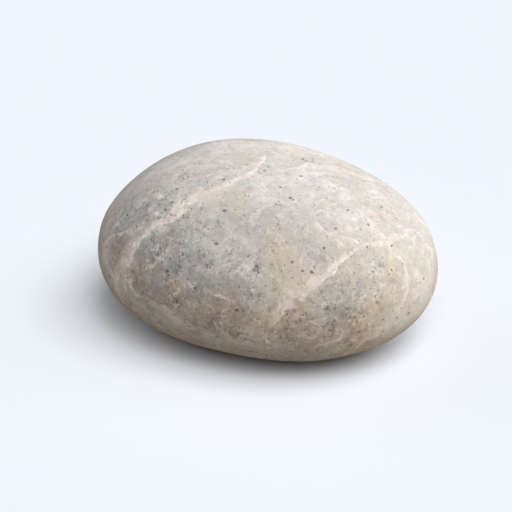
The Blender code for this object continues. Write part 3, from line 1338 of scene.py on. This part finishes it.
    def _veins(self, sheet: Sheet, veining: Veining, place: Wire) -> Wire:
        """Lays down every layer of veins, and gives how much of them there is.

        Args:
            sheet: the sheet of nodes.
            veining: the veins that are on the skin.
            place: the places to lay them on.

        Returns:
            How much of a vein there is, 0 beside them.
        """
        fill = self.fill
        sway = sheet.cloud(place, fill.sway) - MIDDLE
        fray = sheet.cloud(place, fill.fray) - MIDDLE
        broken = sheet.cloud(place, fill.broken)
        swell = sheet.cloud(place, fill.swell).spread(*fill.swell_gain)
        total = None
        for layer in veining.layers():
            marks = {"Vector": sheet.written(veining.attribute(layer))}
            marked = sheet.node("ShaderNodeSeparateXYZ", None, marks, "X")
            half, strength = marked.beside("Y") * swell, marked.beside("Z")
            across = marked + sway * fill.sway_by + fray * fill.fray_by
            outside, inside = fill.crisp
            crisp = across.ease(half + outside, half + inside)
            far_side = half * -fill.soft_reach - fill.soft_beyond
            soft = (across + fray * fill.soft_fray_by).ease(far_side, half * -fill.soft_full)
            rim = (across - half * fill.rim_at).size().ease(*fill.rim) * fill.rim_strength
            body = crisp * soft * broken.spread(*fill.body_gain)
            mask = (body + rim * broken.spread(*fill.rim_gain)) * strength
            total = mask if total is None else total.most(mask)
        return total

    def _specks(self, sheet: Sheet, place: Wire, specks: Specks) -> Wire:
        """Scatters specks.

        Args:
            sheet: the sheet of nodes.
            place: the places to lay them on.
            specks: the specks.

        Returns:
            Up to the specks' strength inside one, and 0 between them.
        """
        filled = {"Vector": sheet.moved(place, specks.shift), "Scale": 1 / (specks.spacing * MM)}
        gap = sheet.node("ShaderNodeTexVoronoi", {"feature": "F1"}, filled, "Distance")
        lot = sheet.node("ShaderNodeSeparateColor", None, {"Color": gap.beside("Color")}, "Green")
        size = lot.ease(1 - specks.share, 1.0)
        body = (size * specks.reach - gap * specks.spacing).ease(*self.speck_edge)
        return body * size.spread(*self.speck_gain) * specks.strength

    def _peppering(self, sheet: Sheet, place: Wire) -> Wire:
        """Lays down clusters of small dark and pale grains, as a change of brightness.

        Args:
            sheet: the sheet of nodes.
            place: the places to lay them on.

        Returns:
            The change, below 0 in the dark grains.
        """
        dark, pale = (
            added([self._specks(sheet, place, specks) for specks in lots])
            * sheet.cloud(place, clusters).spread(*self.cluster_gain)
            for lots, clusters in (
                (self.dark_specks, self.dark_clusters),
                (self.pale_specks, self.pale_clusters),
            )
        )
        return dark + pale

    def _strokes(self, sheet: Sheet, place: Wire) -> Wire:
        """Lays down short fine dark and pale lines, as a change of brightness.

        Args:
            sheet: the sheet of nodes.
            place: the places to lay them on.

        Returns:
            The change, below 0 in the dark lines.
        """
        laid = []
        for strokes in self.strokes:
            spot = sheet.moved(place, strokes.shift)
            ridge = (sheet.cloud(spot, Cloud(strokes.length, 1.0)) - MIDDLE).size()
            length = strokes.length * self.stroke_gaps
            gaps = Cloud(length, 1.0, span=self.stroke_gap_span, shift=self.stroke_gap_shift)
            laid.append(ridge.ease(*self.stroke_edge) * sheet.cloud(spot, gaps) * strokes.lift)
        return added(laid)

    def _threads(self, sheet: Sheet, place: Wire) -> Wire:
        """Lays down hair-fine pale threads, broken here and there."""
        ridge = (sheet.cloud(place, self.threads) - MIDDLE).size()
        return ridge.ease(*self.thread_edge) * sheet.cloud(place, self.thread_gaps)

    def _flecks(self, sheet: Sheet, place: Wire, ragged: Wire, layers: int) -> Wire:
        """Lays down the dark flecks, the strewn ones and those that stand out.

        Args:
            sheet: the sheet of nodes.
            place: the places on the stone.
            ragged: the same, moved about a little.
            layers: how many layers of flecks are on the skin.

        Returns:
            How dark it is, 0 beside them.
        """
        small, large = (self._specks(sheet, ragged, specks) for specks in self.strewn_flecks)
        dark = small.most(large)
        push = sheet.vector("SCALE", sheet.vector("SUBTRACT", ragged, place), 1 / MM)
        outside, inside = self.fleck_edge
        for layer in range(layers):
            ways, sizes = (sheet.written(name) for name in Flecking.attributes(layer))
            gap = sheet.vector("LENGTH", sheet.vector("ADD", ways, push), output="Value")
            reach = sheet.node("ShaderNodeSeparateXYZ", None, {"Vector": sizes}, "X")
            dark = dark.most(gap.ease(reach * outside, reach * inside) * reach.beside("Y"))
        return dark


@dataclass(frozen=True)
class PaperFinish:
    """Seamless studio paper, which gives less light back to the stone than it shows."""

    shown: Colour = (0.905, 0.906, 0.918)
    given_back: Colour = (0.41, 0.355, 0.30)
    glow: Colour = PALE
    glow_share: float = 0.02
    tooth: Cloud = Cloud(0.4, 3.0)
    tooth_gain: Gain = (0.996, 0.008)

    def dress(self, floor: bpy.types.Object) -> None:
        """Makes the finish and gives it to the floor.

        Args:
            floor: the floor.
        """
        material = bpy.data.materials.new("studio_paper")
        material.use_nodes = True
        sheet = Sheet(material.node_tree)
        place = sheet.node("ShaderNodeTexCoord", output="Object")
        fibre = sheet.cloud(place, self.tooth)
        shown = sheet.vector("SCALE", self.shown, fibre.spread(*self.tooth_gain))
        lit = sheet.node("ShaderNodeBsdfDiffuse", None, {"Color": shown})
        glowing = sheet.node("ShaderNodeEmission", None, {"Color": (*self.glow, 1.0)})
        lit = sheet.node("ShaderNodeMixShader", None, {0: self.glow_share, 1: lit, 2: glowing})
        bounced = sheet.node("ShaderNodeBsdfDiffuse", None, {"Color": (*self.given_back, 1.0)})
        direct = sheet.node("ShaderNodeLightPath", output="Is Camera Ray")
        surface = sheet.node("ShaderNodeMixShader", None, {0: direct, 1: bounced, 2: lit})
        sheet.node("ShaderNodeOutputMaterial", None, {"Surface": surface})
        floor.data.materials.append(material)


# ---------------------------------------------------------------- the pebble and the studio


@dataclass
class Pebble:
    """The whole stone: its skin, veins, patches and flecks."""

    camera: Camera
    skin: Skin = field(default_factory=Skin)
    veining: Veining = field(default_factory=lambda: Veining(VEINS))
    patching: Patching = field(default_factory=lambda: Patching(PATCHES))
    flecking: Flecking = field(default_factory=lambda: Flecking(FLECKS))
    finish: StoneFinish = field(default_factory=StoneFinish)

    def build(self, node: bpy.types.Object) -> bpy.types.Object:
        """Makes the stone and dresses it.

        Args:
            node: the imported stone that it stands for.

        Returns:
            The finished stone.
        """
        skin = self.skin.build(node)
        ground = Ground(skin, self.camera)
        self.veining.lay(ground)
        self.patching.lay(ground)
        self.finish.dress(skin, self.veining, self.flecking.lay(ground))
        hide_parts("pebble")
        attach(skin, "root")
        return skin


class Falls(Enum):
    """What a light is let fall on."""

    ALL = "all"
    STONE = "stone"
    PAPER = "paper"


@dataclass(frozen=True)
class SoftLight:
    """A large soft light, far off, by the direction that it shines from."""

    name: str
    azimuth: float
    elevation: float
    strength: float
    softness: float  # how wide it looks from the stone, in degrees
    colour: Colour
    falls: Falls = Falls.ALL


COOL: Colour = (0.96, 1.0, 1.06)
BARELY_COOL: Colour = (0.98, 1.0, 1.03)
WHITE: Colour = (1.0, 1.0, 1.0)
WARM: Colour = (1.14, 1.0, 0.82)


@dataclass
class Studio:
    """The pale floor and the plain soft light round the stone."""

    floor_width: float = 300.0  # in metres, so that its edge is out of sight
    floor_corners: int = 64
    backdrop: Colour = PALE
    lights: tuple[SoftLight, ...] = (
        SoftLight("overhead_front", 298, 48, 0.52, 34, COOL),
        SoftLight("overhead_side", 336, 58, 0.58, 44, COOL),
        SoftLight("narrow_end", 34, 17, 0.13, 42, WHITE, Falls.STONE),
        SoftLight("back_corner", 62, 20, 0.16, 40, BARELY_COOL, Falls.STONE),
        SoftLight("behind", 120, 15, 0.04, 50, BARELY_COOL, Falls.STONE),
        SoftLight("broad_end", 182, 30, 0.11, 50, BARELY_COOL),
        SoftLight("narrow_fill", 28, 16, 0.14, 45, WARM, Falls.STONE),
        SoftLight("kicker", 62, 30, 0.54, 60, BARELY_COOL, Falls.STONE),
        SoftLight("far_end", 178, 42, 0.04, 50, BARELY_COOL, Falls.STONE),
        SoftLight("paper_side", 24, 46, 0.11, 40, COOL, Falls.PAPER),
    )
    paper: PaperFinish = field(default_factory=PaperFinish)

    def build(self, stone: bpy.types.Object) -> None:
        """Lays the floor, hangs the lights and sets how the picture is shown.

        Args:
            stone: the stone, which some of the lights are kept to.
        """
        kept: dict[Falls, bpy.types.Collection] = {}
        for falls, piece in ((Falls.STONE, stone), (Falls.PAPER, self._floor())):
            kept[falls] = bpy.data.collections.new(f"only_{falls.value}")
            kept[falls].objects.link(piece)
        for light in self.lights:
            self._hang(light, kept.get(light.falls))
        self._backdrop()
        bpy.context.scene.view_settings.view_transform = "Standard"

    def _floor(self) -> bpy.types.Object:
        """Lays the paper that the stone lies on.

        Returns:
            The floor.
        """
        bpy.ops.object.select_all(action="DESELECT")
        sizes = {"vertices": self.floor_corners, "radius": self.floor_width / 2}
        bpy.ops.mesh.primitive_circle_add(**sizes, fill_type="NGON")
        floor = bpy.context.object
        floor.name = floor.data.name = "floor"
        self.paper.dress(floor)
        return floor

    def _hang(self, light: SoftLight, kept_to: bpy.types.Collection | None) -> None:
        """Hangs one light.

        Args:
            light: the light.
            kept_to: the pieces that it falls on, or None where it falls on all.
        """
        way = heading(light.azimuth, light.elevation)
        turn = way.to_track_quat("Z", "Y").to_euler()
        bpy.ops.object.light_add(type="SUN", location=way, rotation=turn)
        lamp = bpy.context.object
        lamp.name = light.name
        lamp.data.energy = light.strength * math.pi  # pi lights a white surface to 1
        lamp.data.angle = math.radians(light.softness)
        lamp.data.color = light.colour
        if kept_to is not None:
            lamp.light_linking.receiver_collection = kept_to

    def _backdrop(self) -> None:
        """Sets what shows beyond the floor, which lights nothing."""
        world = bpy.data.worlds.new("backdrop")
        world.use_nodes = True
        bpy.context.scene.world = world
        sheet = Sheet(world.node_tree)
        seen = sheet.node("ShaderNodeLightPath", output="Is Camera Ray")
        filled = {"Color": (*self.backdrop, 1.0), "Strength": seen}
        glow = sheet.node("ShaderNodeBackground", None, filled)
        sheet.node("ShaderNodeOutputWorld", None, {"Surface": glow})


def main() -> None:
    """Builds the pebble and its studio, piece by piece."""
    logging.basicConfig(level=logging.INFO, format="%(name)s: %(message)s")
    camera = Camera()
    camera.set_up()
    stone = Pebble(camera).build(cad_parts["pebble"])
    LOG.info("%s: %d faces", stone.name, len(stone.data.polygons))
    studio = Studio()
    studio.build(stone)
    LOG.info("studio: %d lights", len(studio.lights))


if __name__ == "__main__":
    main()
